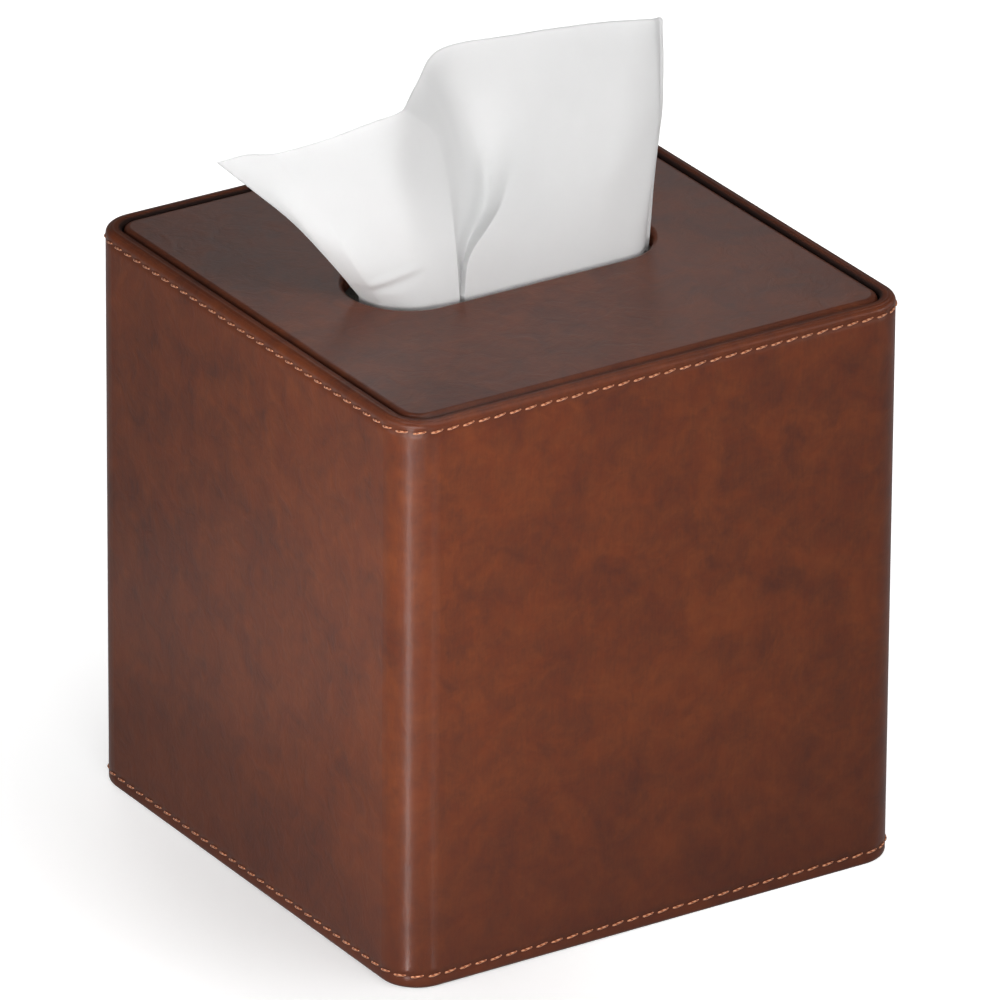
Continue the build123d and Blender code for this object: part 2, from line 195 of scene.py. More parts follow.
# Floor: the glow that the camera sees on top of its light, lowest at the middle of a painted shadow by the
# foot's front-left corner, then what is added clear of it and far off, with the distances over which that
# grows, so that the glow paints the shadow's fade; and the glow that the leather mirrors. The world lights
# the object dimly, and is white to the camera.
PAINTED_SHADOW_MIDDLE = (0.13, 0.065, 0)
PAINTED_SHADOW_SQUEEZE = (2, 1, 1)
FLOOR_GLOW = (0.29, 0.50, 0.3)
GLOW_NEAR, GLOW_FAR = (0.02, 0.22), (0.25, 0.8)
FLOOR_MIRRORED = 0.17
FLOOR_HALF = 4.0
WORLD_LIGHT = 0.05
WORLD_MIRRORED = 0.085

# A glint's lamps, as distances from its start, and its width as a share of the distance
GLINT_LAMPS = ((0.006, 0.025), (0.025, 0.052), (0.052, 0.105), (0.105, 0.220))
GLINT_SPREAD = 0.060


# ---------------------------------------------------------------- meshes

def piece(name, points, faces, smooth=True):
    """A mesh object at the origin from its points, in metres, and its faces."""
    mesh = bpy.data.meshes.new(name)
    mesh.from_pydata(points.tolist(), [], faces.tolist())
    mesh.polygons.foreach_set("use_smooth", np.full(len(mesh.polygons), smooth))
    made = bpy.data.objects.new(name, mesh)
    bpy.context.scene.collection.objects.link(made)
    return made


def grid_faces(rows, columns, closed=False):
    """Quads of a grid of points, row after row. A closed grid joins its last column to its first."""
    row, column = np.meshgrid(np.arange(rows - 1), np.arange(columns - (not closed)), indexing="ij")
    a = row * columns + column
    b = row * columns + (column + 1) % columns
    return np.stack([a, b, b + columns, a + columns], axis=-1).reshape(-1, 4)


def curve(knots, values, at, softness=None):
    """Cubic Hermite curve through values at rising knots. Its slope at a knot is the mean of the chords on
    both sides, weighted by the other chord's length, times the softness there."""
    values = np.asarray(values, float)
    step = np.diff(knots).reshape(-1, *[1] * (values.ndim - 1))
    chord = np.diff(values, axis=0) / step
    slope = np.concatenate([
        chord[:1], (chord[:-1] * step[1:] + chord[1:] * step[:-1]) / (step[1:] + step[:-1]), chord[-1:],
    ])
    if softness is not None:
        slope = slope * softness
    i = np.clip(np.searchsorted(knots, at, "right") - 1, 0, len(knots) - 2)
    t = ((at - knots[i]) / np.diff(knots)[i]).reshape(-1, *[1] * (values.ndim - 1))
    a, b, p, q, h = values[i], values[i + 1], slope[i], slope[i + 1], step[i]
    return a + (b - a) * t * t * (3 - 2 * t) + h * t * (1 - t) * (p * (1 - t) - q * t)


def lengths(points):
    """Distance along a line of points, from its start to each point."""
    points = np.asarray(points, float)
    return np.concatenate([[0], np.cumsum(np.linalg.norm(np.diff(points, axis=0), axis=-1))])


def smoothstep(low, high, x):
    """0 below low, 1 above high, and 3t^2 - 2t^3 in between."""
    t = np.clip((x - low) / (high - low), 0, 1)
    return t * t * (3 - 2 * t)


def round_case(s):
    """Points and outward normals on the case's outline at distances s along it, seen from above and
    anticlockwise: four straight sides, each followed by a quarter circle, turned by 90 degrees a side."""
    straight = 2 * (CASE_HALF - CORNER_RADIUS)
    length = straight + CORNER_RADIUS * math.pi / 2
    side, along = np.divmod(s, length)
    bend = np.clip((along - straight) / CORNER_RADIUS, 0, math.pi / 2)
    run = np.minimum(along, straight)
    x = run - straight / 2 + CORNER_RADIUS * np.sin(bend)
    y = -CASE_HALF + CORNER_RADIUS * (1 - np.cos(bend))
    turn = side * math.pi / 2
    c, n = np.cos(turn), np.sin(turn)
    normal_x, normal_y = np.sin(bend), -np.cos(bend)
    return (
        np.stack([x * c - y * n, x * n + y * c], -1),
        np.stack([normal_x * c - normal_y * n, normal_x * n + normal_y * c], -1),
    )


def stitch_row(name, height):
    """A row of stitches round the case. Each is a tube along the outline whose radius is r(1 - t^6)^0.5
    and whose middle stands off the leather by h(1 - t^4), with t from -1 to 1 along it. All slant alike,
    some a little more than others."""
    straight = 2 * (CASE_HALF - CORNER_RADIUS)
    around = 4 * straight + 2 * math.pi * CORNER_RADIUS
    number = np.arange(STITCHES_PER_ROW)
    centres = (number + STITCH_START) * around / STITCHES_PER_ROW
    t = np.array(STITCH_STATIONS)
    side = np.arange(THREAD_SIDES)
    angle = side * 2 * math.pi / THREAD_SIDES
    slant = STITCH_SLANT * (1 + SLANT_SPREAD * np.sin(number * SLANT_STEP))[:, None, None]
    radius = STITCH_RADIUS * np.sqrt(1 - t ** 6) * (STITCH_FULLNESS - STITCH_TAPER * t)
    rise = STITCH_RISE * (1 - t ** 4) - STITCH_SINK
    along = t * STITCH_LENGTH / 2
    place, normal = round_case(
        (centres[:, None, None] + along[None, :, None] * np.cos(slant) + 0 * angle[None, None, :]) % around
    )
    out = rise[None, :, None] + radius[None, :, None] * np.cos(angle)[None, None, :]
    up = along[None, :, None] * np.sin(slant) + radius[None, :, None] * np.sin(angle)[None, None, :]
    points = np.concatenate([place + normal * out[..., None], (height + up)[..., None]], -1)
    each = len(t) * THREAD_SIDES
    faces = grid_faces(len(t), THREAD_SIDES, closed=True)[:, ::-1]
    faces = (faces[None] + each * number[:, None, None]).reshape(-1, 4)
    made = piece(name, points.reshape(-1, 3), faces)
    twist = np.stack(np.meshgrid(t * TWIST_PER_STITCH, side / THREAD_SIDES, indexing="ij"), -1)
    add_uv(made, np.broadcast_to(twist[None], (STITCHES_PER_ROW, *twist.shape)).reshape(-1, 2))
    close(made)
    return made


def add_uv(made, values):
    """Gives each corner of the mesh its vertex's own pair of values."""
    flat = made.data.uv_layers.new(name="Flat")
    corner = np.zeros(len(made.data.loops), np.int32)
    made.data.loops.foreach_get("vertex_index", corner)
    flat.data.foreach_set("uv", values[corner].astype(np.float32).ravel())


def close(made, turn_out=False):
    """Merges a mesh's doubled points, such as those of a pole. Where asked, it turns the faces outwards."""
    work = bmesh.new()
    work.from_mesh(made.data)
    bmesh.ops.remove_doubles(work, verts=work.verts, dist=WELD_DISTANCE)
    if turn_out:
        bmesh.ops.recalc_face_normals(work, faces=work.faces)
    work.to_mesh(made.data)
    work.free()


def crease(x, z, start, end, width, depth):
    """A ridge or valley of paper along a line in front view: depth times a bell curve of the distance to it.
    It fades towards both ends of the line."""
    (x0, z0), (x1, z1) = start, end
    dx, dz = x1 - x0, z1 - z0
    t = np.clip(((x - x0) * dx + (z - z0) * dz) / (dx * dx + dz * dz), 0, 1)
    away = np.hypot(x - x0 - t * dx, z - z0 - t * dz)
    fade = np.sin(np.pi * (t * (1 - 2 * CREASE_END) + CREASE_END)) ** CREASE_FADE
    return depth * fade * np.exp(-((away / width) ** 2))


def layer(fold_lines, rises, count):
    """One layer of the standing part, as a grid: curves up the fold lines at the given rises, from 0 at the
    slot to 1 at the top edge, joined by curves with count points across them."""
    up, soft = [], []
    for points, low, high in fold_lines:
        run = lengths(points)
        up.append(curve(run / run[-1], points, rises))
        soft.append(low + (high - low) * smoothstep(*SOFTNESS_CHANGE, rises))
    up, soft = np.stack(up), np.stack(soft)[..., None]
    knots = np.mean([lengths(up[:, row]) for row in (0, len(rises) // 2, len(rises) - 1)], axis=0)
    return curve(knots, up, np.linspace(0, knots[-1], count), soft).transpose(1, 0, 2)


def tissue_mesh(name):
    """The folded sheet as one grid. Across, it runs along the front layer, round the fold and back
    behind it. Down, it narrows from its top edge to the slot, gathers into the carton and turns up
    behind itself."""
    rises = np.linspace(1, 0, STANDING_ROWS)
    front = layer(FOLD_LINES, rises, FRONT_COLUMNS)
    fold = np.linspace(0, np.pi, FOLD_STEPS)[1:-1]
    shift = np.array(LAYER_SHIFT)
    round_out = np.array([shift[1], -shift[0], 0.0])
    turn = front[:, -1:] + (1 - np.cos(fold))[:, None] * shift / 2 + np.sin(fold)[:, None] * round_out / 2
    back = layer([(FOLD_LINES[i][0], 1, 1) for i in BACK_LINES], rises, BACK_COLUMNS)[:, 1:] + shift
    standing = np.concatenate([front, turn, back], axis=1)

    # Share of the width that a column has, out on the front layer and back on the one behind it
    out_share = np.linspace(0, 1, FRONT_COLUMNS)
    back_share = np.linspace(1, BACK_EDGE_SHARE, BACK_COLUMNS)[1:]
    share = np.concatenate([out_share, 0 * fold + 1, back_share])
    depth = np.concatenate([0 * out_share, (1 - np.cos(fold)) / 2, 0 * back_share + 1]) * LAYER_GAP

    # Creases, and soft waves that grow with the height
    x, z = standing[..., 0], standing[..., 2]
    height = np.clip((z - SLOT_LEVEL) / STANDING_HEIGHT, 0, 1)
    push = sum(crease(x, z, *line) for line in CREASES)
    push += WAVE_HEIGHT * np.sin(x * 0.35 + z * 0.21) * np.sin(z * 0.28 - x * 0.07) * height
    standing[..., 1] -= push
    standing[..., 2] -= (depth / LAYER_GAP) * height * BACK_DROP

    # Pleats of the part in the carton, under the slot
    slot = standing[-1]
    tail_x = TAIL_HALF_WIDTH * (2 * share - 1)
    tail_y = TAIL_FRONT_Y
    for pleat_depth, number, start in TAIL_PLEATS:
        tail_y = tail_y + pleat_depth * np.sin(2 * np.pi * number * share + start)
    ease = smoothstep(0, 1, np.linspace(0, 1, NECK_ROWS)[1:])[:, None]
    level = np.linspace(SLOT_LEVEL, TAIL_LEVEL, NECK_ROWS)[1:, None]
    neck = np.stack(np.broadcast_arrays(
        slot[:, 0] + (tail_x - slot[:, 0]) * ease,
        slot[:, 1] + (tail_y + depth - slot[:, 1]) * ease,
        slot[:, 2] - SLOT_LEVEL + level + (SLOT_LEVEL - slot[:, 2]) * ease,
    ), -1)
    down = np.linspace(TAIL_LEVEL, TAIL_FOLD_LEVEL, TAIL_ROWS)[1:, None]
    bend = np.linspace(0, np.pi, TURN_STEPS)[1:-1, None]
    radius = TAIL_FOLD_RADIUS - depth
    tail = [
        (tail_x, tail_y + depth, down),
        (tail_x, tail_y + TAIL_FOLD_RADIUS - radius * np.cos(bend), TAIL_FOLD_LEVEL - radius * np.sin(bend)),
        (tail_x, tail_y + TAIL_FOLD_RADIUS + radius, down[::-1]),
    ]
    sheet = np.concatenate([standing, neck] + [np.stack(np.broadcast_arrays(*part), -1) for part in tail])

    made = piece(name, sheet.reshape(-1, 3) * MM, grid_faces(*sheet.shape[:2]))
    down, across = np.meshgrid(lengths(sheet[:, PATTERN_COLUMN]), lengths(sheet[0]), indexing="ij")
    add_uv(made, np.stack([across, down], -1).reshape(-1, 2) / PATTERN_SIZE)
    return made


def pile_mesh(name, low, high, layers):
    """A pile of folded sheets: rings of an oblong, one above another, that bulge by a half sine for each
    layer at the folded ends, and step a little in and out from layer to layer."""
    levels = np.linspace(0, layers, layers * ROWS_PER_LAYER + 1)
    angle = np.linspace(0, 2 * np.pi, PILE_POINTS + 1)[:-1] + np.pi / 4
    c, s = np.cos(angle), np.sin(angle)
    square = np.stack([c, s], -1) / np.maximum(np.abs(c), np.abs(s))[:, None]
    middle, half = (low + high) / 2, (high - low) / 2
    bulge = 1 - np.abs(np.sin(np.pi * levels))
    number = np.minimum(levels.astype(int), layers - 1)
    uneven = 0.5 + 0.5 * np.sin(number * PILE_UNEVEN)
    inset_x = (END_BULGE * bulge + END_STEP * uneven) * MM
    inset_y = (SIDE_BULGE * bulge + SIDE_STEP * (1 - uneven)) * MM
    x = middle[0] + square[None, :, 0] * (half[0] - inset_x)[:, None]
    y = middle[1] + square[None, :, 1] * (half[1] - inset_y)[:, None]
    z = low[2] + (high[2] - low[2]) * levels[:, None] / layers + 0 * x
    rings = np.stack([x, y, z], -1)
    shrink = np.array(PILE_CAP)[:, None, None]
    centre = np.array([middle[0], middle[1], 0.0])
    lid = (rings[-1] - centre)[None] * [1, 1, 0] * shrink + centre + [0, 0, 1] * rings[-1][None]
    base = (rings[0] - centre)[None] * [1, 1, 0] * shrink[::-1] + centre + [0, 0, 1] * rings[0][None]
    rings = np.concatenate([base, rings, lid])
    made = piece(name, rings.reshape(-1, 3), grid_faces(*rings.shape[:2], closed=True), smooth=False)
    close(made)
    return made


def hinge_strip(name):
    """One strip of thin leather, an L in section with a small bend: a band of even thickness carried along
    a line that goes down the wall, turns a quarter circle and runs forward under the flap."""
    y, z = HINGE_LINE
    half = STRIP_THICKNESS / 2
    bend = np.linspace(0, math.pi / 2, POINTS_ROUND)
    down = np.linspace(STRIP_TOP, z + STRIP_BEND, POINTS_DOWN)
    along = np.linspace(y - STRIP_BEND, STRIP_END, POINTS_ALONG)
    corner = [y + half - STRIP_BEND * (1 - np.cos(bend)), z + half + STRIP_BEND * (1 - np.sin(bend))]
    line = np.concatenate([
        np.stack([0 * down + y + half, down + half], -1),
        np.stack(corner, -1)[1:-1],
        np.stack([along, 0 * along + z + half], -1),
    ])
    run = np.gradient(line, axis=0)
    run /= np.linalg.norm(run, axis=1, keepdims=True)
    side = np.stack([run[:, 1], -run[:, 0]], -1) * half * STRIP_FULLNESS
    ring = np.stack([line + side, line - side], 1)
    x = np.linspace(-HINGE_LENGTH / 2, HINGE_LENGTH / 2, STRIP_COLUMNS)
    outline = np.concatenate([ring[:, 0], ring[::-1, 1]])
    points = np.concatenate([
        np.broadcast_to(x[:, None, None], (len(x), len(outline), 1)),
        np.broadcast_to(outline[None], (len(x), len(outline), 2)),
    ], -1)
    faces = grid_faces(len(x), len(outline), closed=True)
    count = len(outline)
    i = np.arange(len(line) - 1)
    first = np.stack([i, i + 1, count - 2 - i, count - 1 - i], -1)
    far = first[:, ::-1] + (len(x) - 1) * count
    made = piece(name, points.reshape(-1, 3), np.concatenate([faces, first, far]), smooth=False)
    close(made, turn_out=True)
    return made


# ---------------------------------------------------------------- materials

class Value:
    """One output of a shader node. Arithmetic on it adds Math nodes to its finish."""

    def __init__(self, finish, socket):
        self.finish, self.socket = finish, socket

    def math(self, operation, first, second):
        return self.finish.math(operation, first, second)

    def __add__(self, other):
        return self.math("ADD", self, other)

    def __sub__(self, other):
        return self.math("SUBTRACT", self, other)

    def __mul__(self, other):
        return self.math("MULTIPLY", self, other)

    def __truediv__(self, other):
        return self.math("DIVIDE", self, other)

    def __pow__(self, other):
        return self.math("POWER", self, other)

    def __radd__(self, other):
        return self.math("ADD", other, self)

    def __rsub__(self, other):
        return self.math("SUBTRACT", other, self)

    def __rmul__(self, other):
        return self.math("MULTIPLY", other, self)

    def __rpow__(self, other):
        return self.math("POWER", other, self)


class Finish:
    """The nodes of a procedural material, or of the surroundings."""

    def __init__(self, name, owners=bpy.data.materials):
        self.owner = owners.new(name)
        self.owner.use_nodes = True
        self.tree = self.owner.node_tree
        self.tree.nodes.clear()
        self.place = self.node("ShaderNodeTexCoord", output="Object")

    def node(self, kind, settings=None, sockets=None, output=0, stops=None):
        """Adds a node: its settings first, then the values or links of its sockets. Gives one output."""
        made = self.tree.nodes.new(kind)
        for key, value in (settings or {}).items():
            setattr(made, key, value)
        if stops:
            ramp = made.color_ramp
            while len(ramp.elements) < len(stops):
                ramp.elements.new(1.0)
            for element, (at, colour) in zip(ramp.elements, stops):
                element.position, element.color = at, (*colour, 1)
        for key, value in (sockets or {}).items():
            socket = made.inputs[key]
            if isinstance(value, Value):
                self.tree.links.new(value.socket, socket)
            elif socket.type == "RGBA" and len(value) == 3:
                socket.default_value = (*value, 1)
            else:
                socket.default_value = value
        return Value(self, made.outputs[output]) if len(made.outputs) else None

    def stretched(self, scale):
        """Object coordinates, scaled along each axis."""
        return self.node("ShaderNodeVectorMath", {"operation": "MULTIPLY"}, {0: self.place, 1: scale})

    def axis(self, name):
        return self.node("ShaderNodeSeparateXYZ", None, {0: self.place}, output=name)

    def noise(self, scale, detail=2.0, rough=0.5, distortion=0.0, at=None):
        """Cloudy noise around 0.5, with about scale lumps to a metre."""
        sockets = {"Vector": at or self.place, "Scale": scale, "Detail": detail, "Roughness": rough,
                   "Distortion": distortion}
        return self.node("ShaderNodeTexNoise", None, sockets, output="Fac")

    def between(self, value, low, high):
        """0 below low and 1 above high."""
        return self.node("ShaderNodeMapRange", {"interpolation_type": "SMOOTHSTEP"},
                         {"Value": value, "From Min": low, "From Max": high})

    def ramp(self, value, stops):
        return self.node("ShaderNodeValToRGB", None, {"Fac": value}, stops=stops)

    def mix(self, share, first, second):
        """The first colour where the share is 0, and the second where it is 1."""
        return self.node("ShaderNodeMix", {"data_type": "RGBA"}, {0: share, 6: first, 7: second}, output=2)

    def bump(self, height, distance, strength=1.0, under=None):
        """A normal tilted by a height, which is worth the distance where it is 1, over another normal."""
        sockets = {"Height": height, "Distance": distance, "Strength": strength}
        if under:
            sockets["Normal"] = under
        return self.node("ShaderNodeBump", None, sockets)

    def principled(self, sockets):
        return self.node("ShaderNodeBsdfPrincipled", None, sockets)

    def rays(self, *kinds):
        """1 for rays of any of these kinds, else 0."""
        found = [self.node("ShaderNodeLightPath", output=f"Is {kind} Ray") for kind in kinds]
        while len(found) > 1:
            found.append(self.math("MAXIMUM", found.pop(), found.pop()))
        return found[0]

    def math(self, operation, *values):
        return self.node("ShaderNodeMath", {"operation": operation}, dict(enumerate(values)))

    def done(self, shader, output="ShaderNodeOutputMaterial"):
        self.node(output, None, {"Surface": shader})
        return self.owner


def from_inside(f):
    """Distance outwards from the square that the corners' centres span. Its lines go round the corners."""
    inner = CASE_HALF - CORNER_RADIUS
    across = [f.math("MAXIMUM", f.math("ABSOLUTE", f.axis(name)) - inner, 0.0) for name in "XY"]
    return (across[0] * across[0] + across[1] * across[1]) ** 0.5


def rolled_rim(f):
    """Height of the leather over the rim, in mm: a parabola across the middle of the wall, so that the
    narrow flat on top looks rolled, and level beyond it."""
    away = from_inside(f) - RIM_MIDDLE
    return f.math("MINIMUM", away * away, RIM_ROLL_END) * RIM_ROLL_FALL


def leather(name, rows=()):
    """Smooth waxed leather: cloudy patches from dark to warm brown, faint upright streaks, a fine grain, and
    painted shade that darkens it towards the foot. Where rows of stitches are given, they lie in sunken
    channels with painted shade along them, and the rim is rolled, with painted shade that darkens the groove
    inside it."""
    f = Finish(name)
    clouds = f.noise(24, detail=2, rough=0.5, distortion=0.6)
    blots = f.between(f.noise(62, detail=4, rough=0.58, distortion=0.9), 0.36, 0.64)
    patches = f.noise(150, detail=4, rough=0.62, distortion=0.8)
    mottle = f.noise(560, detail=3, rough=0.6)
    streaks = f.noise(1, detail=3, rough=0.65, distortion=0.5, at=f.stretched((1500, 1500, 240)))
    pores = f.noise(1700, detail=2, rough=0.5)
    tone = clouds * 0.16 + blots * 0.10 + patches * 0.34 + mottle * 0.14 + streaks * 0.13
    warmth = f.between(f.noise(210, detail=4, rough=0.7, distortion=0.5), 0.38, 0.66)
    colour = f.mix(warmth * 0.30, f.ramp(tone, LEATHER_TONES), LEATHER_WARM)
    height = f.axis("Z")
    # Painted shade: the leather darkens towards the foot
    foot = 1 - f.between(height, *FOOT_PAINTED_SHADE_HEIGHTS)
    colour = f.mix(foot * 0.42, colour, PAINTED_FOOT_SHADE)
    grain = pores * 0.6 + streaks * 0.4
    shine = 0.27 + patches * 0.08
    normal = f.bump(patches, 0.25 * MM, strength=0.5)
    normal = f.bump(grain, 0.05 * MM, strength=0.5, under=normal)
    if rows:
        normal = f.bump(rolled_rim(f), 1.0 * MM, under=normal)
        # Painted shade: the groove inside the rim is darkened nearly to black
        groove = 1 - f.between(from_inside(f), RIM_MIDDLE - 1.5 * MM, RIM_MIDDLE - 0.7 * MM)
        colour = f.mix(groove * 0.9, colour, PAINTED_GROOVE_SHADE)
        inner_half = 1 - f.between(from_inside(f), RIM_MIDDLE - 0.4 * MM, RIM_MIDDLE + 0.2 * MM)
        shine = shine + inner_half * 0.50
    for row in rows:
        away = (height - row) / CHANNEL_WIDTH
        channel = EULER ** (away * away * -1.0)
        # Painted shade along each stitch channel, besides the real dip of its bump
        colour = f.mix(channel * 0.35, colour, PAINTED_CHANNEL_SHADE)
        normal = f.bump(channel * -1.0, 0.25 * MM, under=normal)
    return f.done(f.principled({"Base Color": colour, "Roughness": shine, "Normal": normal, "IOR": 1.30}))


def thread(name):
    """Waxed orange-tan sewing thread, its twist as slanting darker lines of painted shade in the twist's
    grooves.
    """
    f = Finish(name)
    uv = f.node("ShaderNodeUVMap", {"uv_map": "Flat"})
    u = f.node("ShaderNodeSeparateXYZ", None, {0: uv}, output="X")
    v = f.node("ShaderNodeSeparateXYZ", None, {0: uv}, output="Y")
    twist = f.math("SINE", (u * 0.3 + v) * FULL_TURN)
    # Painted shade: the thread darkens along the twist's grooves
    colour = f.mix(f.between(twist, -0.9, 0.5), *THREAD_TWIST_SHADE_AND_COLOUR)
    return f.done(f.principled({
        "Base Color": colour, "Roughness": 0.6, "Normal": f.bump(twist, 0.06 * MM, 0.6),
        "Sheen Weight": 0.25, "IOR": 1.35,
    }))


def tissue_paper(name):
    """Soft two-ply tissue: white, a faint crepe across it, and some light coming through."""
    f = Finish(name)
    uv = f.node("ShaderNodeUVMap", {"uv_map": "Flat"})
    finer_down = f.node("ShaderNodeVectorMath", {"operation": "MULTIPLY"}, {0: uv, 1: (260, 900, 1)})
    crepe = f.noise(1, 3, 0.6, at=finer_down)
    cloud = f.noise(60, 3, 0.6)
    colour = f.mix(cloud, (0.88, 0.88, 0.88), (0.94, 0.94, 0.94))
    normal = f.bump(crepe * 0.6 + cloud * 0.8, 0.12 * MM, 0.5)
    front = f.principled({
        "Base Color": colour, "Roughness": 0.95, "Normal": normal, "IOR": 1.2, "Sheen Weight": 0.1,
    })
    through = f.node("ShaderNodeBsdfTranslucent", None, {"Color": (0.92, 0.92, 0.92)})
    return f.done(f.node("ShaderNodeMixShader", None, {0: 0.22, 1: front, 2: through}))


def velvet(name):
    """Short brown pile that catches light at its edges."""
    f = Finish(name)
    nap = f.noise(240, 4, 0.6)
    pile = f.noise(2600, 2, 0.5)
    colour = f.ramp(nap * 0.7 + pile * 0.3, [(0.35, (0.030, 0.014, 0.010)), (0.65, (0.072, 0.036, 0.026))])
    return f.done(f.principled({
        "Base Color": colour, "Roughness": 0.95, "Normal": f.bump(pile, 0.2 * MM, 0.6),
        "Sheen Weight": 0.7, "Sheen Roughness": 0.35, "IOR": 1.3,
    }))


def board(name, pale, dark):
    """Pressed paper board with short fibres and specks."""
    f = Finish(name)
    fibres = f.noise(1, 3, 0.65, at=f.stretched((300, 1400, 900)))
    specks = f.between(f.noise(2100, 1, 0.5), 0.62, 0.70)
    colour = f.mix(fibres, dark, pale)
    colour = f.mix(specks * 0.5, colour, tuple(c * 0.55 for c in dark))
    return f.done(f.principled({
        "Base Color": colour, "Roughness": 0.85, "Normal": f.bump(fibres, 0.06 * MM, 0.6),
    }))


def plated(name):
    """Nickel plating with fine brushed scratches."""
    f = Finish(name)
    brush = f.noise(1, 2, 0.5, at=f.stretched((120, 4000, 4000)))
    cloud = f.noise(300, 2, 0.5)
    colour = f.mix(cloud, (0.62, 0.60, 0.56), (0.72, 0.70, 0.67))
    return f.done(f.principled({
        "Base Color": colour, "Metallic": 1.0, "Roughness": 0.22 + brush * 0.16,
        "Normal": f.bump(brush, 0.01 * MM, 0.4),
    }))


def tissue_pile_finish(name):
    """White folded tissues, with fine darker lines of painted shade where the layers meet."""
    f = Finish(name)
    level = f.axis("Z")
    line = f.math("SINE", level * (FULL_TURN / PILE_LINE_SPACING))
    soft = f.noise(400, 3, 0.6)
    # Painted shade in the gaps between the layers: the lines are darker than the paper
    colour = f.mix(f.between(line, -1.0, 0.2), (0.66, 0.66, 0.65), (0.84, 0.84, 0.83))
    return f.done(f.principled({
        "Base Color": colour, "Roughness": 0.95, "Normal": f.bump(line * 0.3 + soft, 0.2 * MM, 0.6),
    }))


def dress(material, *names):
    """Gives CAD nodes their finish."""
    for name in names:
        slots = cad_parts[name].data.materials
        slots.clear()
        slots.append(material)


# ---------------------------------------------------------------- pieces

case_leather = leather("case leather", rows=(RIM_ROW_HEIGHT, FOOT_ROW_HEIGHT))
plain_leather = leather("panel leather")
dress(case_leather, "outer_leather")
dress(plain_leather, "top_leather", "flap_leather", "flap_pull_tab")
dress(velvet("velvet lining"), "front_velvet", "back_velvet", "left_velvet", "right_velvet", "top_velvet",
      "flap_velvet")
dress(board("grey board", (0.36, 0.33, 0.29), (0.25, 0.22, 0.19)), "wall_board", "top_board", "flap_board",
      "front_liner", "back_liner", "left_liner", "right_liner")
dress(board("carton board", (0.78, 0.76, 0.72), (0.66, 0.63, 0.58)), "refill_carton")
dress(plated("nickel plating"), "wall_magnets", "flap_magnets")

thread_finish = thread("sewing thread")
for row_name, row_height in (("rim_stitches", RIM_ROW_HEIGHT), ("foot_stitches", FOOT_ROW_HEIGHT)):
    row_piece = stitch_row(row_name, row_height)
    row_piece.data.materials.append(thread_finish)
    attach(row_piece, "case")

strip = hinge_strip("hinge_strip")
strip.data.materials.append(plain_leather)
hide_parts("hinge_wall_leaf", "hinge_flap_leaf")
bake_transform(strip)

tissue = tissue_mesh("tissue")
thickness = tissue.modifiers.new("paper", "SOLIDIFY")
thickness.thickness = PAPER_THICKNESS
thickness.offset = 0
tissue.data.materials.append(tissue_paper("tissue paper"))
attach(tissue, "tissue")
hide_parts("tissue_sheet")

pile_low, pile_high = (np.array(corner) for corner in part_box("tissue_pile"))
pile = pile_mesh("folded_pile", pile_low, pile_high, PILE_LAYERS)
pile.data.materials.append(tissue_pile_finish("folded tissues"))
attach(pile, "case")
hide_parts("tissue_pile")


# ---------------------------------------------------------------- floor, lights and camera

def floor_finish():
    """White to the camera, with the object's shadow and a painted shadow by the foot's front-left corner,
    where its glow is weaker, which fades away from it. From below it is clear.
    """
    f = Finish("studio floor")
    seen = f.rays("Camera", "Transmission")
    lit = f.node("ShaderNodeBsdfDiffuse", None, {"Color": f.mix(seen, (0.35, 0.35, 0.35), (0.8, 0.8, 0.8))})
    moved = {0: f.place, 1: PAINTED_SHADOW_SQUEEZE, 2: PAINTED_SHADOW_MIDDLE}
    moved = f.node("ShaderNodeVectorMath", {"operation": "MULTIPLY_ADD"}, moved)
    away = f.node("ShaderNodeVectorMath", {"operation": "LENGTH"}, {0: moved}, output="Value")
    # Painted shadow: the glow is weakest by the foot's front-left corner and grows away from it
    base, near, far = FLOOR_GLOW
    glow = seen * (base + f.between(away, *GLOW_NEAR) * near + f.between(away, *GLOW_FAR) * far)
    glow = glow + f.rays("Glossy") * FLOOR_MIRRORED
    glow = f.node("ShaderNodeEmission", None, {"Color": glow, "Strength": 1.0})
    both = f.node("ShaderNodeAddShader", None, {0: lit, 1: glow})
    below = f.node("ShaderNodeNewGeometry", output="Backfacing")
    clear = f.node("ShaderNodeBsdfTransparent")
    return f.done(f.node("ShaderNodeMixShader", None, {0: below, 1: both, 2: clear}))


floor_corners = np.array([[-1, -1, 0], [1, -1, 0], [1, 1, 0], [-1, 1, 0]]) * FLOOR_HALF
floor = piece("floor", floor_corners, np.array([[0, 1, 2, 3]]))
floor.data.materials.append(floor_finish())

around = Finish("studio", bpy.data.worlds)
strength = WORLD_LIGHT + around.rays("Camera", "Transmission") * (1 - WORLD_LIGHT)
strength = strength + around.rays("Glossy") * WORLD_MIRRORED
sky = around.node("ShaderNodeBackground", None, {"Color": (1, 1, 1), "Strength": strength})
bpy.context.scene.world = around.done(sky, "ShaderNodeOutputWorld")


def soft_box(name, place, way, size, power, along=(0, 0, 1), lights=True, shines=True):
    """A lamp at a place, facing one way. Its width lies square to the along direction. One that doesn't
    light is only seen in reflections, and one that doesn't shine isn't seen in them."""
    lamp = bpy.data.lights.new(name, "AREA")
    lamp.shape = "RECTANGLE"
    lamp.size, lamp.size_y = size
    lamp.energy = power
    made = bpy.data.objects.new(name, lamp)
    bpy.context.scene.collection.objects.link(made)
    back = -Vector(way).normalized()
    across = Vector(along).cross(back).normalized()
    facing = Matrix((across, back.cross(across), back)).transposed().to_4x4()
    made.matrix_world = Matrix.Translation(place) @ facing
    made.visible_camera = False
    made.visible_diffuse = lights
    made.visible_glossy = shines


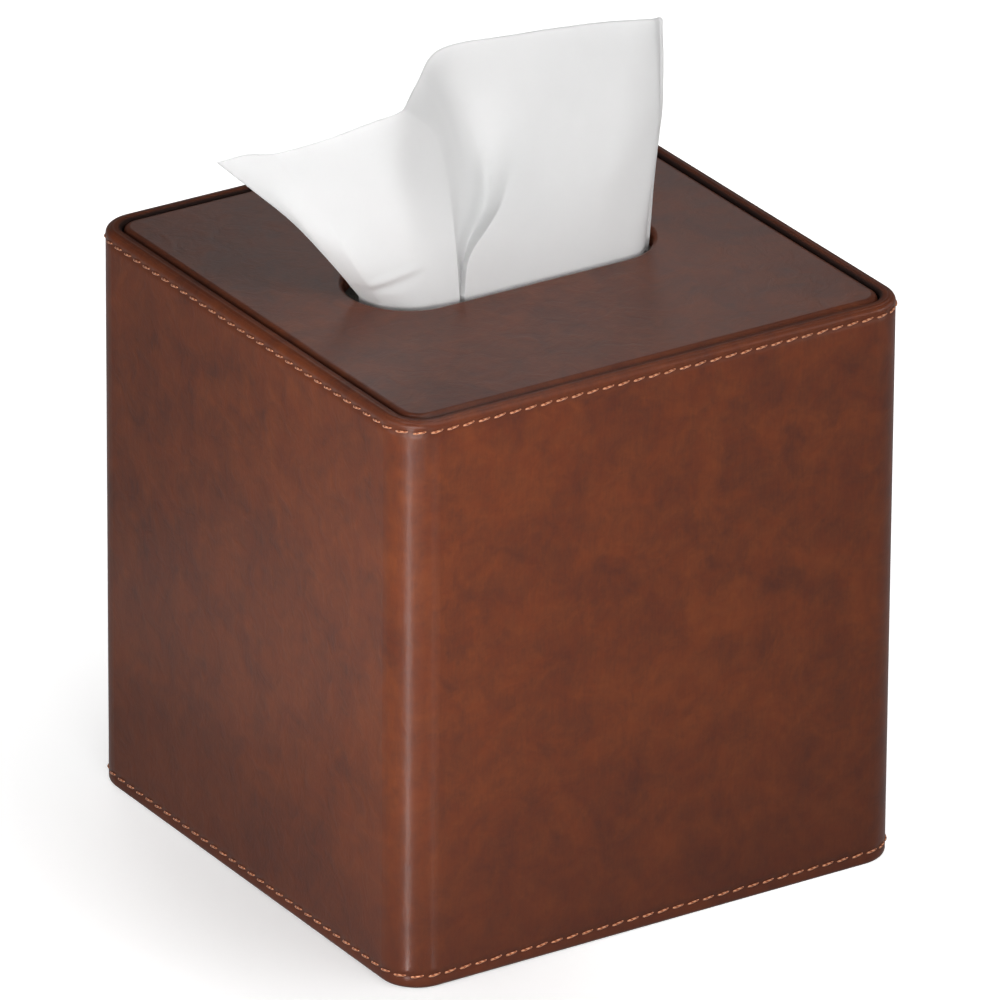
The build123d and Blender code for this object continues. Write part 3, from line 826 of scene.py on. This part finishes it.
def glint(name, start, way, brightness):
    """A band of light that widens evenly as it runs outwards from a place on the floor, as four flat
    lamps. A rounded corner shows it as one upright line that is even from its foot to its top."""
    way = Vector(way).normalized()
    face = (Vector((0, 0, 1)) - way * way.z).normalized()
    for near, far in GLINT_LAMPS:
        middle, length = (near + far) / 2, far - near
        width = GLINT_SPREAD * middle
        soft_box(f"{name} {near:.3f}", Vector(start) + way * middle, face, (width, length),
                 brightness * math.pi * width * length, way, lights=False)


# Each lamp's place, the way it faces, its size in metres and its power in watts, or a glint's start, the
# way that it runs and its brightness
soft_box("front box", (-0.20, -0.24, 0.13), (0.165, 0.205, -0.03), (0.16, 0.16), 0.44)
soft_box("corner box", (-0.28, -0.19, 0.13), (0.22, 0.13, -0.03), (0.16, 0.16), 0.31)
soft_box("left box", (-0.60, 0.10, 0.20), (0.6, -0.10, -0.13), (0.3, 0.3), 0.68)
soft_box("right box", (0.50, -0.50, 0.22), (-0.50, 0.50, -0.12), (0.3, 0.3), 1.15)
soft_box("far right box", (0.74, -0.20, 0.25), (-0.74, 0.20, -0.15), (0.3, 0.3), 0.3)
soft_box("top box", (-0.10, -0.35, 0.85), (0.10, 0.35, -0.75), (0.3, 0.3), 0.9)
soft_box("fill box", (0.05, -0.28, 0.36), (-0.05, 0.28, -0.23), (0.16, 0.16), 0.28)
soft_box("back box", (0.33, 0.50, 0.44), (-0.33, -0.50, -0.30), (0.22, 0.22), 0.14)
glint("corner glint", (-0.060, -0.061, 0.001), (-0.83, -0.517, 0.22), 25.7)
glint("edge glint", (-0.0575, -0.063, 0.001), (0.205, -0.955, 0.22), 4.0)
soft_box("left card", (-0.155, 0.105, 0.003), (0, 0, 1), (0.11, 0.11), 0.010, (0, 1, 0), lights=False)
soft_box("left lamp", (-0.30, 0.02, 0.80), (0.30, -0.02, -0.67), (0.09, 0.09), 0.7, (0, 1, 0), lights=False)
soft_box("right lamp", (0.22, -0.05, 0.80), (-0.22, 0.05, -0.67), (0.09, 0.09), 0.7, (0, 1, 0), lights=False)
soft_box("rear fill", (0.25, 0.85, 0.16), (-0.25, -0.85, -0.06), (0.3, 0.3), 2.6, shines=False)
soft_box("under fill", (0.15, 0.40, -0.70), (-0.15, -0.40, 0.70), (0.3, 0.3), 1.5, shines=False)

# The camera: its turn round the object, its tilt and its roll, its distance from the point that it turns
# about, its offset to the side and up, and that point's height
AZIMUTH, ELEVATION, ROLL = math.radians(-32.7415), math.radians(24.9228), math.radians(0.3952)
DISTANCE, ASIDE, ABOVE, AIM_HEIGHT = 3.032884, 0.0006918, 0.0064068, 0.070
LENS, SENSOR = 495.475, 36

camera = bpy.data.objects.new("camera", bpy.data.cameras.new("camera"))
bpy.context.scene.collection.objects.link(camera)
bpy.context.scene.camera = camera
back = np.array([math.sin(AZIMUTH) * math.cos(ELEVATION), -math.cos(AZIMUTH) * math.cos(ELEVATION),
                 math.sin(ELEVATION)])
level_right = np.array([math.cos(AZIMUTH), math.sin(AZIMUTH), 0.0])
level_up = np.cross(back, level_right)
right = math.cos(ROLL) * level_right + math.sin(ROLL) * level_up
up = np.cross(back, right)
turn = Matrix((right, up, back)).transposed().to_4x4()
turn.translation = back * DISTANCE + right * ASIDE + up * ABOVE + np.array([0, 0, AIM_HEIGHT])
camera.matrix_world = turn
camera.data.lens = LENS
camera.data.sensor_width = SENSOR
camera.data.clip_end = 50

bpy.context.scene.view_settings.view_transform = "Standard"
